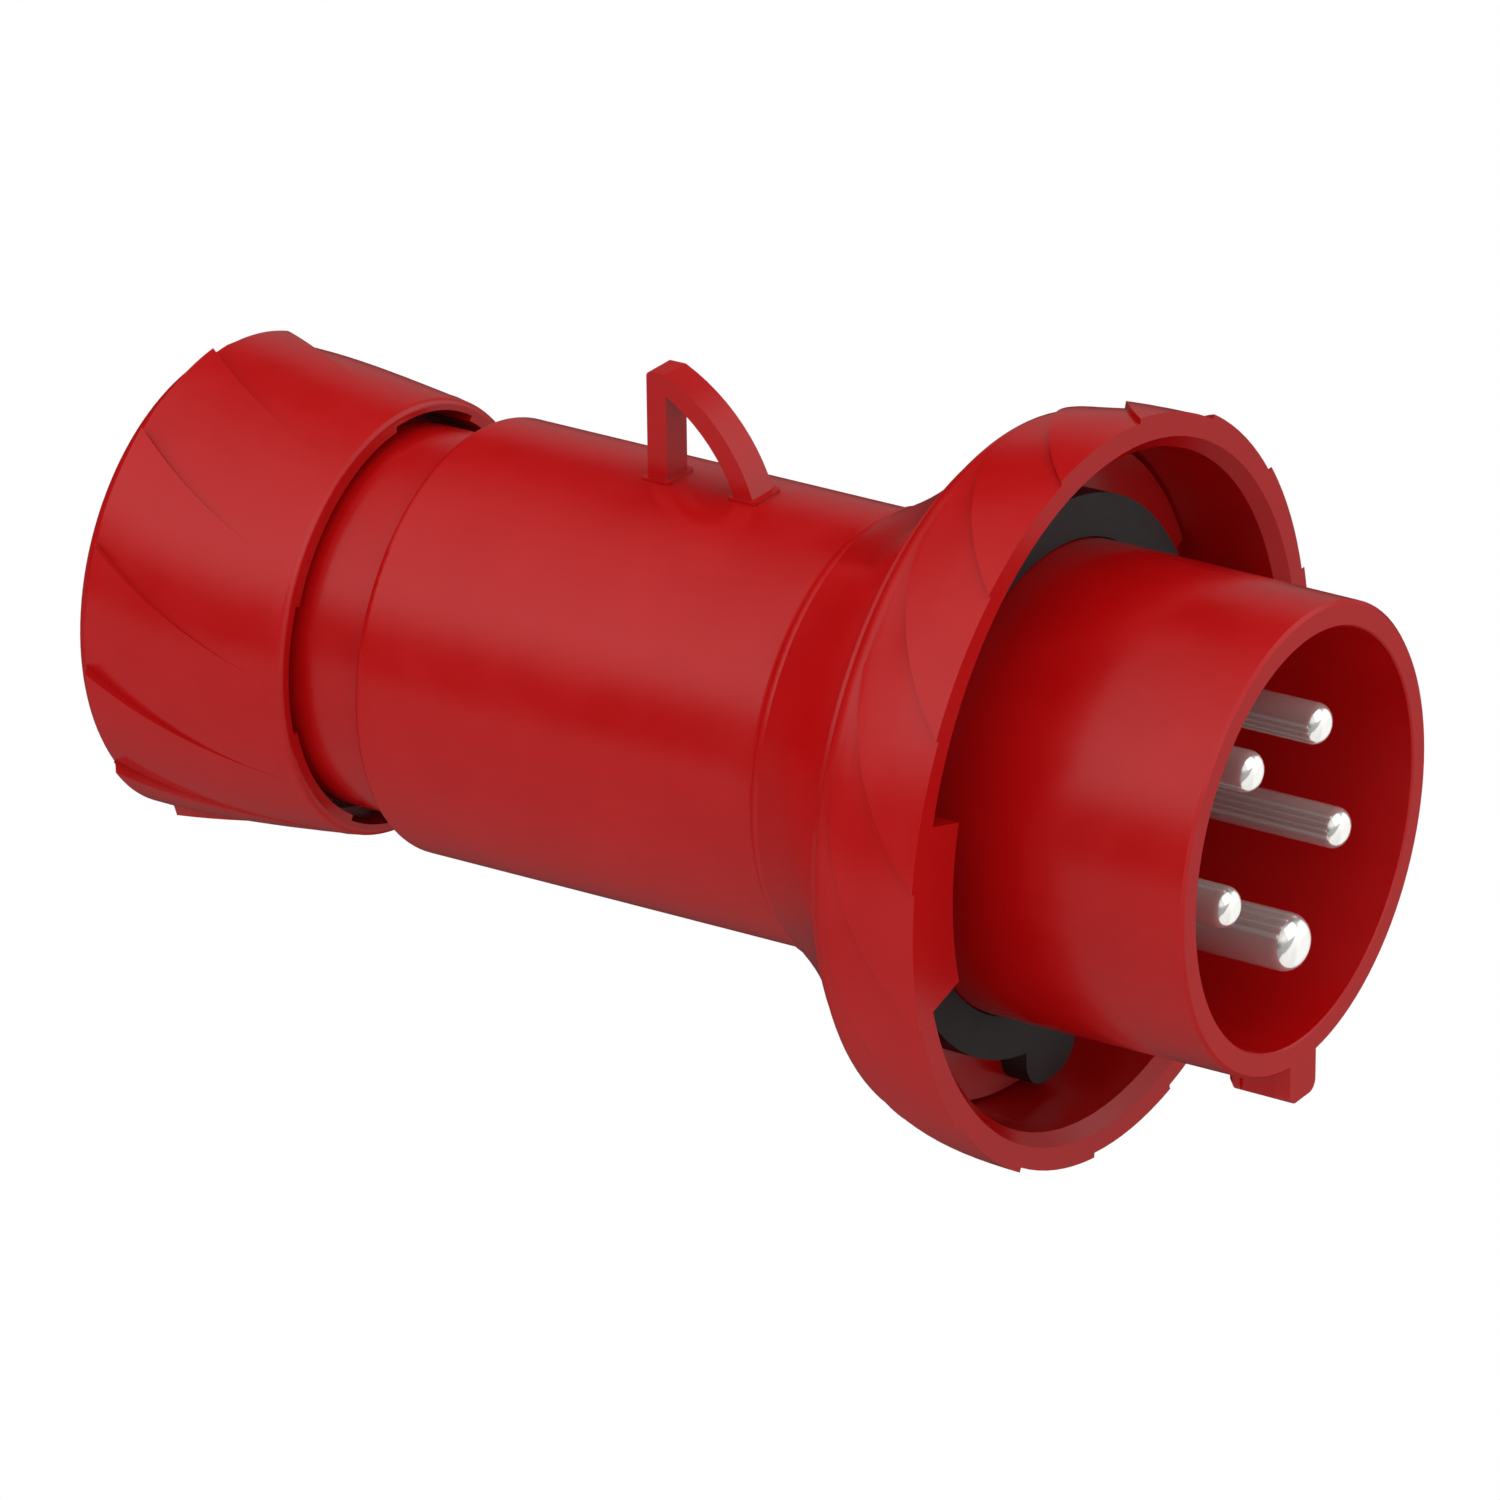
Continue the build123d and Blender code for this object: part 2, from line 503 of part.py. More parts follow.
def make_locking_ring():
    """Bell-shaped ring with overlapping curved leaves, held behind the flange by its lip."""
    sections = []
    for share in RING_LEAF_STATIONS:
        back = share * RING_LEAF_LENGTH
        rise = ring_leaf_rise(share)
        first = -90 - RING_LEAF_CLOCK - ring_leaf_sweep(share)
        root = ring_radius(back) - rise
        sections.append(leaf_section(Z_RING_FRONT - back, root, rise, RING_LEAVES, first, False))
    bell = loft(sections)
    z_leaf_end = Z_RING_FRONT - RING_LEAF_LENGTH
    band = ring_radius(RING_LEAF_LENGTH) - ring_leaf_rise(1) - LEAF_SEAT
    turn = math.sin(math.radians(45))
    bell += turned_path(
        Line((0, z_leaf_end), (band, z_leaf_end)),
        Line((band, z_leaf_end), (band, Z_RING_REAR + RING_REAR_ROUNDING)),
        ThreePointArc(
            (band, Z_RING_REAR + RING_REAR_ROUNDING),
            (band - RING_REAR_ROUNDING * (1 - turn), Z_RING_REAR + RING_REAR_ROUNDING * (1 - turn)),
            (band - RING_REAR_ROUNDING, Z_RING_REAR),
        ),
        Line((band - RING_REAR_ROUNDING, Z_RING_REAR), (0, Z_RING_REAR)),
        Line((0, Z_RING_REAR), (0, z_leaf_end)),
    )
    z_lip = Z_RING_REAR + RING_LIP_THICKNESS
    z_mouth = Z_RING_FRONT - RING_MOUTH_CHAMFER
    bell -= turned(
        (0, Z_RING_REAR),
        (FLANGE_HUB_RADIUS + MOVING_GAP, Z_RING_REAR),
        (FLANGE_HUB_RADIUS + MOVING_GAP, z_lip),
        (FLANGE_RADIUS + MOVING_GAP, z_lip),
        (RING_INNER_RADIUS, z_mouth),
        (RING_INNER_RADIUS + RING_MOUTH_CHAMFER, Z_RING_FRONT),
        (0, Z_RING_FRONT),
    )
    for clock in (LUG_CLOCK, LUG_CLOCK + HALF_TURN):
        root = RING_INNER_RADIUS + RING_MOUTH_CHAMFER + SEAT_GAP
        bell += sector(LUG_INNER_RADIUS, root, Z_RING_FRONT - LUG_LENGTH, Z_RING_FRONT, clock, LUG_SPAN)
    for clock in (STOP_TAB_CLOCK, STOP_TAB_CLOCK + HALF_TURN):
        bell += sector(
            FLANGE_HUB_RADIUS + MOVING_GAP, RING_INNER_RADIUS, z_lip, z_lip + STOP_TAB_HEIGHT, clock, STOP_TAB_SPAN
        )
    return bell


def make_handle_body():
    """Neck, grip and flare of the handle, moulded as one piece with the hanging loop."""
    step_top = GRIP_RADIUS + STEP_HEIGHT
    grip_rear = GRIP_RADIUS + GRIP_TAPER
    flare_start = (step_top, Z_CREASE)
    flare_end = (FLARE_RADIUS, Z_FLARE - FLARE_EDGE)
    flare_middle = bowed(flare_start, flare_end, FLARE_HOLLOW)
    thread_depth = NECK_RADIUS - THREAD_ROOT_RADIUS
    z_land = Z_NECK_REAR + NECK_END_CHAMFER
    z_thread = z_land + NECK_LAND
    z_thread_end = z_thread + THREAD_LENGTH
    z_step = Z_CREASE - STEP_LAND - STEP_LENGTH
    turn = math.sin(math.radians(45))
    outline = [
        Line((0, Z_NECK_REAR), (NECK_RADIUS - NECK_END_CHAMFER, Z_NECK_REAR)),
        Line((NECK_RADIUS - NECK_END_CHAMFER, Z_NECK_REAR), (NECK_RADIUS, z_land)),
        Line((NECK_RADIUS, z_land), (NECK_RADIUS, z_thread)),
        Line((NECK_RADIUS, z_thread), (THREAD_ROOT_RADIUS, z_thread + thread_depth)),
        Line((THREAD_ROOT_RADIUS, z_thread + thread_depth), (THREAD_ROOT_RADIUS, z_thread_end - thread_depth)),
        Line((THREAD_ROOT_RADIUS, z_thread_end - thread_depth), (NECK_RADIUS, z_thread_end)),
        Line((NECK_RADIUS, z_thread_end), (NECK_RADIUS, Z_SHOULDER)),
        Line((NECK_RADIUS, Z_SHOULDER), (grip_rear - SHOULDER_ROUNDING, Z_SHOULDER)),
        ThreePointArc(
            (grip_rear - SHOULDER_ROUNDING, Z_SHOULDER),
            (grip_rear - SHOULDER_ROUNDING * (1 - turn), Z_SHOULDER + SHOULDER_ROUNDING * (1 - turn)),
            (grip_rear, Z_SHOULDER + SHOULDER_ROUNDING),
        ),
        Line((grip_rear, Z_SHOULDER + SHOULDER_ROUNDING), (GRIP_RADIUS, z_step)),
        Spline((GRIP_RADIUS, z_step), (step_top, Z_CREASE - STEP_LAND), tangents=((0, 1), (0, 1))),
        Line((step_top, Z_CREASE - STEP_LAND), flare_start),
        ThreePointArc(flare_start, flare_middle, flare_end),
        Line(flare_end, (FLARE_RADIUS, Z_FLARE)),
        Line((FLARE_RADIUS, Z_FLARE), (0, Z_FLARE)),
        Line((0, Z_FLARE), (0, Z_NECK_REAR)),
    ]
    body = turned_path(*outline)
    body += make_hanging_loop()
    z_throat = Z_NECK_SEAT + NECK_THROAT_LENGTH
    z_cone = z_throat + GRIP_BORE_RADIUS - NECK_THROAT_RADIUS
    z_rim_rear = Z_FLARE - FLARE_RIM_THICKNESS
    body -= turned(
        (0, Z_NECK_REAR),
        (NECK_BORE_RADIUS, Z_NECK_REAR),
        (NECK_BORE_RADIUS, Z_NECK_SEAT),
        (NECK_THROAT_RADIUS, Z_NECK_SEAT),
        (NECK_THROAT_RADIUS, z_throat),
        (GRIP_BORE_RADIUS, z_cone),
        (GRIP_BORE_RADIUS, Z_CREASE + FLARE_ROOT),
        (FLARE_RIM_BORE, z_rim_rear),
        (FLARE_RIM_BORE, Z_FLARE),
        (0, Z_FLARE),
    )
    groove_half = SEAL_SECTION_RADIUS + SEAT_GAP
    groove_floor = Z_FLARE - 2 * SEAL_SECTION_RADIUS - SCREW_GAP
    body -= tube(SEAL_CIRCLE_RADIUS + groove_half, SEAL_CIRCLE_RADIUS - groove_half, groove_floor, Z_FLARE)
    return body


def bowed(start, end, bow):
    """Middle point of an arc that bows to the left of the way from its start to its end."""
    run = end[0] - start[0]
    climb = end[1] - start[1]
    length = math.hypot(run, climb)
    return (
        (start[0] + end[0]) / 2 - bow * climb / length,
        (start[1] + end[1]) / 2 + bow * run / length,
    )


def make_hanging_loop():
    """D-shaped loop on the grip: an upright post behind, and a curved leg in front."""
    foot = GRIP_RADIUS - GRIP_WALL / 2
    top = GRIP_RADIUS + LOOP_HEIGHT
    z_post = Z_SHOULDER + LOOP_FROM_SHOULDER
    z_leg = z_post + LOOP_LENGTH
    outer_start = (top, z_post + LOOP_BAR)
    outer_end = (GRIP_RADIUS, z_leg)
    outer_middle = bowed(outer_start, outer_end, -LOOP_BOW)
    profile = make_face([
        Line((foot, z_post), (top, z_post)),
        Line((top, z_post), outer_start),
        ThreePointArc(outer_start, outer_middle, outer_end),
        Line(outer_end, (foot, z_leg)),
        Line((foot, z_leg), (foot, z_post)),
    ])
    inner_start = (top - LOOP_BAR, z_post + LOOP_BAR)
    inner_end = (GRIP_RADIUS, z_leg - LOOP_BAR)
    inner_middle = bowed(inner_start, inner_end, -LOOP_WINDOW_BOW)
    window = make_face([
        Line((foot, inner_start[1]), inner_start),
        ThreePointArc(inner_start, inner_middle, inner_end),
        Line(inner_end, (foot, inner_end[1])),
        Line((foot, inner_end[1]), (foot, inner_start[1])),
    ])
    loop = extrude(Plane.XZ * profile, LOOP_WIDTH / 2, both=True)
    loop -= extrude(Plane.XZ * window, LOOP_WIDTH, both=True)
    loop = fillet(loop.edges().filter_by(Axis.Y).group_by(Axis.X)[-1], LOOP_CORNER)
    for z_low, z_high in ((z_post, z_post + LOOP_BAR), (z_leg - LOOP_BAR, z_leg)):
        pad = Box(
            GRIP_RADIUS + LOOP_PAD_HEIGHT - foot,
            LOOP_WIDTH + 2 * LOOP_PAD,
            z_high - z_low + 2 * LOOP_PAD,
            align=(Align.MIN, Align.CENTER, Align.MIN),
        )
        pad = fillet(pad.edges().filter_by(Axis.X), LOOP_PAD)
        loop += Pos(foot, 0, z_low - LOOP_PAD) * pad
    return around(0) * loop


def make_housing_seal():
    """Round rubber ring in the groove of the handle's rim, under the flange."""
    z_middle = Z_FLARE - SEAL_SECTION_RADIUS - SCREW_GAP / 2
    return Pos(0, 0, z_middle) * Torus(SEAL_CIRCLE_RADIUS, SEAL_SECTION_RADIUS)


def make_gland_nut():
    """Tapered nut with overlapping curved leaves, a cable mouth behind and a bore for the neck."""
    sections = []
    for share in NUT_LEAF_STATIONS:
        z = NUT_LEAF_START + share * NUT_LEAF_LENGTH
        first = -90 - NUT_LEAF_CLOCK + nut_leaf_sweep(share)
        sections.append(leaf_section(z, nut_radius(z), nut_leaf_rise(share), NUT_LEAVES, first, True))
    body = loft(sections)
    rear_radius = nut_radius(NUT_REAR_ROUNDING) - LEAF_SEAT
    body -= turned(
        (rear_radius + NUT_REAR_ROUNDING, 0),
        (rear_radius + NUT_REAR_ROUNDING, NUT_LEAF_START + NUT_REAR_ROUNDING * NUT_LEAF_BEVEL),
        (rear_radius + NUT_LEAF_RISE / 4, NUT_LEAF_START + NUT_LEAF_RISE / 4 * NUT_LEAF_BEVEL),
        (rear_radius + NUT_LEAF_RISE / 4, 0),
    )
    turn = math.sin(math.radians(45))
    z_plain = NUT_LEAF_START + NUT_LEAF_LENGTH
    z_round = NUT_LENGTH - NUT_RIM_ROUNDING
    rim_radius = nut_radius(z_round)
    body += turned_path(
        Line((0, 0), (rear_radius - NUT_REAR_ROUNDING, 0)),
        ThreePointArc(
            (rear_radius - NUT_REAR_ROUNDING, 0),
            (rear_radius - NUT_REAR_ROUNDING * (1 - turn), NUT_REAR_ROUNDING * (1 - turn)),
            (rear_radius, NUT_REAR_ROUNDING),
        ),
        Line((rear_radius, NUT_REAR_ROUNDING), (0, NUT_REAR_ROUNDING)),
        Line((0, NUT_REAR_ROUNDING), (0, 0)),
    )
    plain_radius = nut_radius(z_plain) + nut_leaf_rise(1) + LEAF_SEAT
    body += turned_path(
        Line((0, z_plain), (plain_radius, z_plain)),
        Line((plain_radius, z_plain), (rim_radius, z_round)),
        ThreePointArc(
            (rim_radius, z_round),
            (rim_radius - NUT_RIM_ROUNDING * (1 - turn), NUT_LENGTH - NUT_RIM_ROUNDING * (1 - turn)),
            (rim_radius - NUT_RIM_ROUNDING, NUT_LENGTH),
        ),
        Line((rim_radius - NUT_RIM_ROUNDING, NUT_LENGTH), (0, NUT_LENGTH)),
        Line((0, NUT_LENGTH), (0, z_plain)),
    )
    z_counterbore = NUT_LENGTH - NUT_COUNTERBORE_DEPTH
    body -= turned(
        (0, NUT_REAR_WALL),
        (THREAD_BORE_RADIUS, NUT_REAR_WALL),
        (THREAD_BORE_RADIUS, z_counterbore),
        (NUT_COUNTERBORE_RADIUS, z_counterbore),
        (NUT_COUNTERBORE_RADIUS, NUT_LENGTH),
        (0, NUT_LENGTH),
    )
    recess_radius = NUT_COUNTERBORE_RADIUS + NUT_RECESS_DEPTH
    z_recess = NUT_LENGTH - NUT_RECESS_LENGTH
    for middle in NUT_RECESS_CLOCKS:
        for clock in (middle, middle + HALF_TURN):
            body -= sector(THREAD_BORE_RADIUS, recess_radius, z_recess, NUT_LENGTH, clock, NUT_RECESS_SPAN)
    mouth_round = NUT_MOUTH_ROUNDING
    body -= turned_path(
        Line((0, 0), (NUT_MOUTH_RADIUS + mouth_round, 0)),
        ThreePointArc(
            (NUT_MOUTH_RADIUS + mouth_round, 0),
            (NUT_MOUTH_RADIUS + mouth_round * (1 - turn), mouth_round * (1 - turn)),
            (NUT_MOUTH_RADIUS, mouth_round),
        ),
        Line((NUT_MOUTH_RADIUS, mouth_round), (NUT_MOUTH_RADIUS, NUT_REAR_WALL)),
        Line((NUT_MOUTH_RADIUS, NUT_REAR_WALL), (0, NUT_REAR_WALL)),
        Line((0, NUT_REAR_WALL), (0, 0)),
    )
    return body


def make_thrust_washer():
    """Smooth washer between the nut's floor and the fingers, so that they don't twist the cable."""
    return tube(WASHER_RADIUS, WASHER_HOLE_RADIUS, Z_WASHER_REAR, Z_WASHER_REAR + WASHER_THICKNESS)


def make_clamp_basket():
    """Slotted basket whose tapered fingers close on the cable seal when the nut is tightened."""
    z_lip = Z_BASKET_REAR + BASKET_LIP_THICKNESS
    basket = turned(
        (BASKET_LIP_RADIUS, Z_BASKET_REAR),
        (BASKET_TIP_RADIUS, Z_BASKET_REAR),
        (BASKET_RADIUS, Z_BASKET_REAR + BASKET_TIP_LENGTH),
        (BASKET_RADIUS, Z_NECK_SEAT),
        (BASKET_BORE_RADIUS, Z_NECK_SEAT),
        (BASKET_BORE_RADIUS, z_lip),
        (BASKET_LIP_RADIUS, z_lip),
    )
    slot_length = Z_NECK_SEAT - BASKET_BASE - Z_BASKET_REAR
    for finger in range(BASKET_FINGERS):
        slot = Box(BASKET_RADIUS + REACH_PAST, BASKET_SLOT, slot_length, align=(Align.MIN, Align.CENTER, Align.MIN))
        basket -= around(finger * 360 / BASKET_FINGERS) * Pos(0, 0, Z_BASKET_REAR) * slot
    return basket


def make_gland_seal():
    """Rubber sleeve that the basket squeezes round the cable."""
    z_rear = Z_BASKET_REAR + BASKET_LIP_THICKNESS + SEAT_GAP
    sleeve = tube(GLAND_SEAL_RADIUS, CABLE_BORE_RADIUS, z_rear, Z_NECK_SEAT)
    circles = sleeve.edges().filter_by(GeomType.CIRCLE)
    bore_edges = circles.filter_by(lambda edge: edge.radius < CABLE_BORE_RADIUS + REACH_PAST)
    return chamfer(bore_edges, CABLE_BORE_CHAMFER)


nodes = {
    "front_housing": make_front_housing(),
    "contact_carrier": make_contact_carrier(),
    "carrier_cap": make_carrier_cap(),
    "carrier_screw_left": make_carrier_screw(-1),
    "carrier_screw_right": make_carrier_screw(1),
    "flange_gasket": make_flange_gasket(),
    "locking_ring": make_locking_ring(),
    "handle_body": make_handle_body(),
    "housing_seal": make_housing_seal(),
    "gland_nut": make_gland_nut(),
    "thrust_washer": make_thrust_washer(),
    "clamp_basket": make_clamp_basket(),
    "gland_seal": make_gland_seal(),
}
for pin_name in PIN_NAMES:
    nodes["pin_" + pin_name] = make_pin(pin_name)
    nodes["terminal_screw_" + pin_name] = make_terminal_screw(pin_name)

os.makedirs("parts", exist_ok=True)
for node, shape in nodes.items():
    export_step(shape, "parts/" + node + ".step")
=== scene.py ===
# %% [markdown]
# # Dressing an industrial pin and sleeve plug
# The plug's pieces come finished in shape from the frame. This lesson gives them a camera, a
# studio, and the finish that each real material has. What repeats by a rule, such as the thread
# under the gland nut, is made here with Geometry Nodes.

import json
import math

import bmesh
import bpy
from mathutils import Matrix, Vector


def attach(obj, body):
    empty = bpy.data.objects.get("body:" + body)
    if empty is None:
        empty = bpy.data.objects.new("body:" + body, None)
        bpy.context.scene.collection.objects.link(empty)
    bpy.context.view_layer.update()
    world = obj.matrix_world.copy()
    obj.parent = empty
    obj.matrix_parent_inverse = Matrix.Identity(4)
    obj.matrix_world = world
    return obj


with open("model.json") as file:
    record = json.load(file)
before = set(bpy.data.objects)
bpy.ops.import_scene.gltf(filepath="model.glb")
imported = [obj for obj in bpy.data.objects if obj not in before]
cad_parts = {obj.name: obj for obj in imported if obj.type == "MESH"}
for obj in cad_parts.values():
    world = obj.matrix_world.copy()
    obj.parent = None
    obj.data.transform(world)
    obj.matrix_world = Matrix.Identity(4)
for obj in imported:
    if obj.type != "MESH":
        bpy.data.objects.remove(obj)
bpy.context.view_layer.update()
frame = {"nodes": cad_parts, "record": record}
print("pieces in the frame:", len(frame["nodes"]))

# %% [markdown]
# ## Camera
# A product picture of a long, thin object is taken from far away with a long lens, so that the two
# ends look the same size. The camera's place and two of its axes are given as vectors, because a
# rotation in angles hides which way the picture's upper edge points. Depth of field stays off, as
# everything in such a picture is sharp.

# %% Camera
CAMERA_PLACE = Vector((0.82959, -0.43389, 0.61901))
CAMERA_RIGHT = Vector((-0.5412, 0.0105, 0.8408))
CAMERA_UP = Vector((-0.3470, -0.9136, -0.2119))
LENS_MM = 216.0
SENSOR_MM = 36.0

lens = bpy.data.cameras.new("camera")
lens.lens = LENS_MM
lens.sensor_width = SENSOR_MM
camera = bpy.data.objects.new("camera", lens)
bpy.context.scene.collection.objects.link(camera)
backwards = CAMERA_RIGHT.cross(CAMERA_UP).normalized()
upwards = backwards.cross(CAMERA_RIGHT).normalized()
sideways = upwards.cross(backwards)
turn = Matrix((sideways, upwards, backwards)).transposed().to_4x4()
camera.matrix_world = Matrix.Translation(CAMERA_PLACE) @ turn
bpy.context.scene.camera = camera
print("camera to the plug's foot:", round(CAMERA_PLACE.length, 3), "m")

# %% [markdown]
# ## Small helpers
# Colours are written as sRGB hex values, as a paint chart gives them, and Blender's shaders want
# linear light, so one function turns one into the other by the curve of the sRGB standard. A
# second function adds a node with its settings and links, which keeps every node tree below to a
# few readable lines. A third writes one sum of two values with it.

# %% Helpers
SHADER = "ShaderNode"
SRGB_TOE = 0.04045
SRGB_SLOPE = 12.92
SRGB_SHIFT = 0.055
SRGB_POWER = 2.4


def linear(hex_colour):
    """Linear RGBA of an sRGB hex colour."""
    parts = [int(hex_colour[i:i + 2], 16) / 255 for i in (1, 3, 5)]
    return [p / SRGB_SLOPE if p <= SRGB_TOE else ((p + SRGB_SHIFT) / (1 + SRGB_SHIFT)) ** SRGB_POWER
            for p in parts] + [1.0]


def put(tree, kind, inputs, **settings):
    """Add one node. Each input is a value, or a socket to link from."""
    made = tree.nodes.new(kind)
    for name, value in settings.items():
        setattr(made, name, value)
    for socket, value in inputs.items():
        if isinstance(value, bpy.types.NodeSocket):
            tree.links.new(value, made.inputs[socket])
        else:
            made.inputs[socket].default_value = value
    return made


def math_of(tree, operation, first, second, **settings):
    """Result of one sum in a tree."""
    terms = {0: first, 1: second}
    return put(tree, SHADER + "Math", terms, operation=operation, **settings).outputs[0]


print("helpers ready, pure red is", [round(v, 3) for v in linear("#ff0000")])

# %% [markdown]
# ## What the gloss reflects
# Satin plastic shows its form by what it mirrors. A photographer builds that out of panels. Real
# panels would have to be modelled and hidden, so they are painted in the world by direction
# instead. Three directions serve for that. Height counts from the plug's middle towards the side
# of the hanging loop (-Y), side towards +X, and depth along +Z. The world isn't sampled as a lamp,
# so that each kind of ray can be given its own picture of it below.

# %% Axes of the studio
world = bpy.data.worlds.new("studio")
world.use_nodes = True
world.cycles.sampling_method = "NONE"
bpy.context.scene.world = world
sky = world.node_tree
sky.nodes.clear()
direction = put(sky, SHADER + "TexCoord", {}).outputs["Generated"]


def along(axis):
    """How far the world's direction points along an axis, from -1 to 1."""
    factors = {0: direction, 1: axis}
    return put(sky, SHADER + "VectorMath", factors, operation="DOT_PRODUCT").outputs["Value"]


def ramp(value, limits, smooth=True):
    """Rise from 0 to 1 of a world value between two limits."""
    ends = {"Value": value, "From Min": limits[0], "From Max": limits[1]}
    kind = "SMOOTHSTEP" if smooth else "LINEAR"
    return put(sky, SHADER + "MapRange", ends, interpolation_type=kind).outputs["Result"]


def times(first, second):
    """Product of two world values."""
    return math_of(sky, "MULTIPLY", first, second)


def plus(first, second):
    """Sum of two world values."""
    return math_of(sky, "ADD", first, second)


height = along((0.0, -1.0, 0.0))
side = along((1.0, 0.0, 0.0))
depth = along((0.0, 0.0, 1.0))
print("studio axes:", len(sky.nodes), "nodes")

# %% [markdown]
# There are five panels: one broad soft box above the loop's side, a pale ground under the plug, a
# faint wall on the left, a soft light in front of the shroud, and a faint one beyond it. The black
# gaps between them leave the deep red bands along the housing. Each pair of limits says between
# which directions a panel fades in, and the first is its dark end. The box and the ground fade
# evenly from side to side, as a lamp behind cloth does.

# %% Panels
BOX_LIGHT = 0.80
BOX_HEIGHT = (0.16, 0.52)
BOX_SIDE = (-0.46, 0.64)
BOX_DEPTH = (-0.95, -0.55)
GROUND_LIGHT = 0.28
GROUND_HEIGHT = (-0.02, -0.22)
GROUND_SIDE = (-0.9, 0.3)
GROUND_DEPTH = (-1.0, -0.5)
GROUND_REAR = 0.6
WALL_LIGHT = 0.18
WALL_SIDE = (-0.64, -0.84)
WALL_HEIGHT = (-0.30, 0.0)
FRONT_LIGHT = 0.40
FRONT_DEPTH = (0.10, 0.60)
FRONT_HEIGHT = (-0.40, 0.10)
FAR_LIGHT = 0.26
FAR_SIDE = (-0.2, -0.6)
FAR_DEPTH = (0.15, 0.4)

box = times(ramp(height, BOX_HEIGHT), ramp(side, BOX_SIDE, smooth=False))
box = times(times(box, ramp(depth, BOX_DEPTH)), BOX_LIGHT)
ground = times(ramp(height, GROUND_HEIGHT), ramp(side, GROUND_SIDE, smooth=False))
ground_depth = plus(ramp(depth, GROUND_DEPTH), GROUND_REAR)
ground = times(times(ground, ground_depth), GROUND_LIGHT / (1.0 + GROUND_REAR))
wall = times(times(ramp(side, WALL_SIDE), ramp(height, WALL_HEIGHT)), WALL_LIGHT)
front = times(times(ramp(depth, FRONT_DEPTH), ramp(height, FRONT_HEIGHT)), FRONT_LIGHT)
far = times(times(ramp(side, FAR_SIDE), ramp(depth, FAR_DEPTH)), FAR_LIGHT)
panels = plus(plus(box, ground), plus(wall, plus(front, far)))
print("soft box to ground:", round(BOX_LIGHT / GROUND_LIGHT, 1), "to 1")

# %% [markdown]
# ## What lights the colour
# The red itself comes from light that enters the plastic and leaves it again. In the photograph it
# hardly changes around the housing, so the light for it is one even glow that leans slightly
# towards the box, with a little more from below. Ray kinds keep it apart from the panels, as
# polarising film does in a real studio. What the camera sees of the world itself is plain white,
# so the picture is a cut-out from every side and needs no floor.

# %% Even glow
WHITE = (1.0, 1.0, 1.0, 1.0)
GLOW = 0.74
GLOW_LEAN = 0.54
GLOW_BELOW = 0.30
BELOW_HEIGHT = (-0.1, -0.9)
GLOW_FROM = Vector((0.28, -0.86, 0.10)).normalized()


def shine(strength):
    """White world of this strength."""
    return put(sky, SHADER + "Background", {"Color": WHITE, "Strength": strength}).outputs[0]


def choose(ray_kind, others, these):
    """One world for a kind of ray, and another for the others."""
    return put(sky, SHADER + "MixShader", {0: ray_kind, 1: others, 2: these}).outputs[0]


lean = times(along(GLOW_FROM), GLOW_LEAN)
below = times(ramp(height, BELOW_HEIGHT), GLOW_BELOW)
even_glow = plus(plus(lean, below), GLOW)
rays = put(sky, SHADER + "LightPath", {}).outputs
around = choose(rays["Is Diffuse Ray"], shine(panels), shine(even_glow))
shown = choose(rays["Is Camera Ray"], around, shine(1.0))
put(sky, SHADER + "OutputWorld", {"Surface": shown})
bpy.context.scene.view_settings.view_transform = "Standard"
print("glow from", [round(v, 2) for v in GLOW_FROM])

# %% [markdown]
# ## Cards for the contacts
# Metal shows nothing but its surroundings, so the small ends of the contacts get two white cards
# of their own, one beyond them on the left and one in front. Light linking keeps the cards off the
# plastic, which would otherwise look chalky where it faces them. A lamp's power grows with its
# area, so the brightness of each card is turned into watts.

# %% Cards
CARD_AIM = Vector((0.0, 0.0, 0.155))
CARD_DISTANCE = 0.6
CARDS = {
    "far_card": {"way": Vector((-0.42, 0.58, 0.70)), "size": (3.6, 1.5), "brightness": 0.86},
    "front_card": {"way": Vector((-0.08, -0.72, 0.69)), "size": (0.6, 0.6), "brightness": 1.8},
}

contacts = bpy.data.collections.new("contacts")
for name, node in frame["nodes"].items():
    if name.startswith("pin_"):
        contacts.objects.link(node)
for name, plan in CARDS.items():
    lamp = bpy.data.lights.new(name, "AREA")
    lamp.shape = "RECTANGLE"
    lamp.size, lamp.size_y = plan["size"]
    lamp.energy = plan["brightness"] * math.pi * plan["size"][0] * plan["size"][1]
    card = bpy.data.objects.new(name, lamp)
    bpy.context.scene.collection.objects.link(card)
    card.location = CARD_AIM + CARD_DISTANCE * plan["way"].normalized()
    card.rotation_euler = plan["way"].to_track_quat("Z", "Y").to_euler()
    card.visible_camera = False
    card.light_linking.receiver_collection = contacts
    print(name, round(lamp.energy, 2), "W")

# %% [markdown]
# ## What the materials share
# Each material starts from one colour and one gloss, and noise then moves both a little, because
# no moulded or plated face is quite even. A picture of the surface could be wrapped round each
# piece, but its seams would show, so the noise lives in the piece's own space. It stays near its
# middle value, so only the part of its range that it really uses is spread over the two
# roughnesses or colours. Widths and depths are given in millimetres.

# %% Material helpers
PER_METRE = 1000.0
NOISE_DETAIL = 2.0
GLOSS_RANGE = (0.3, 0.7)
COLOUR_RANGE = (0.35, 0.70)


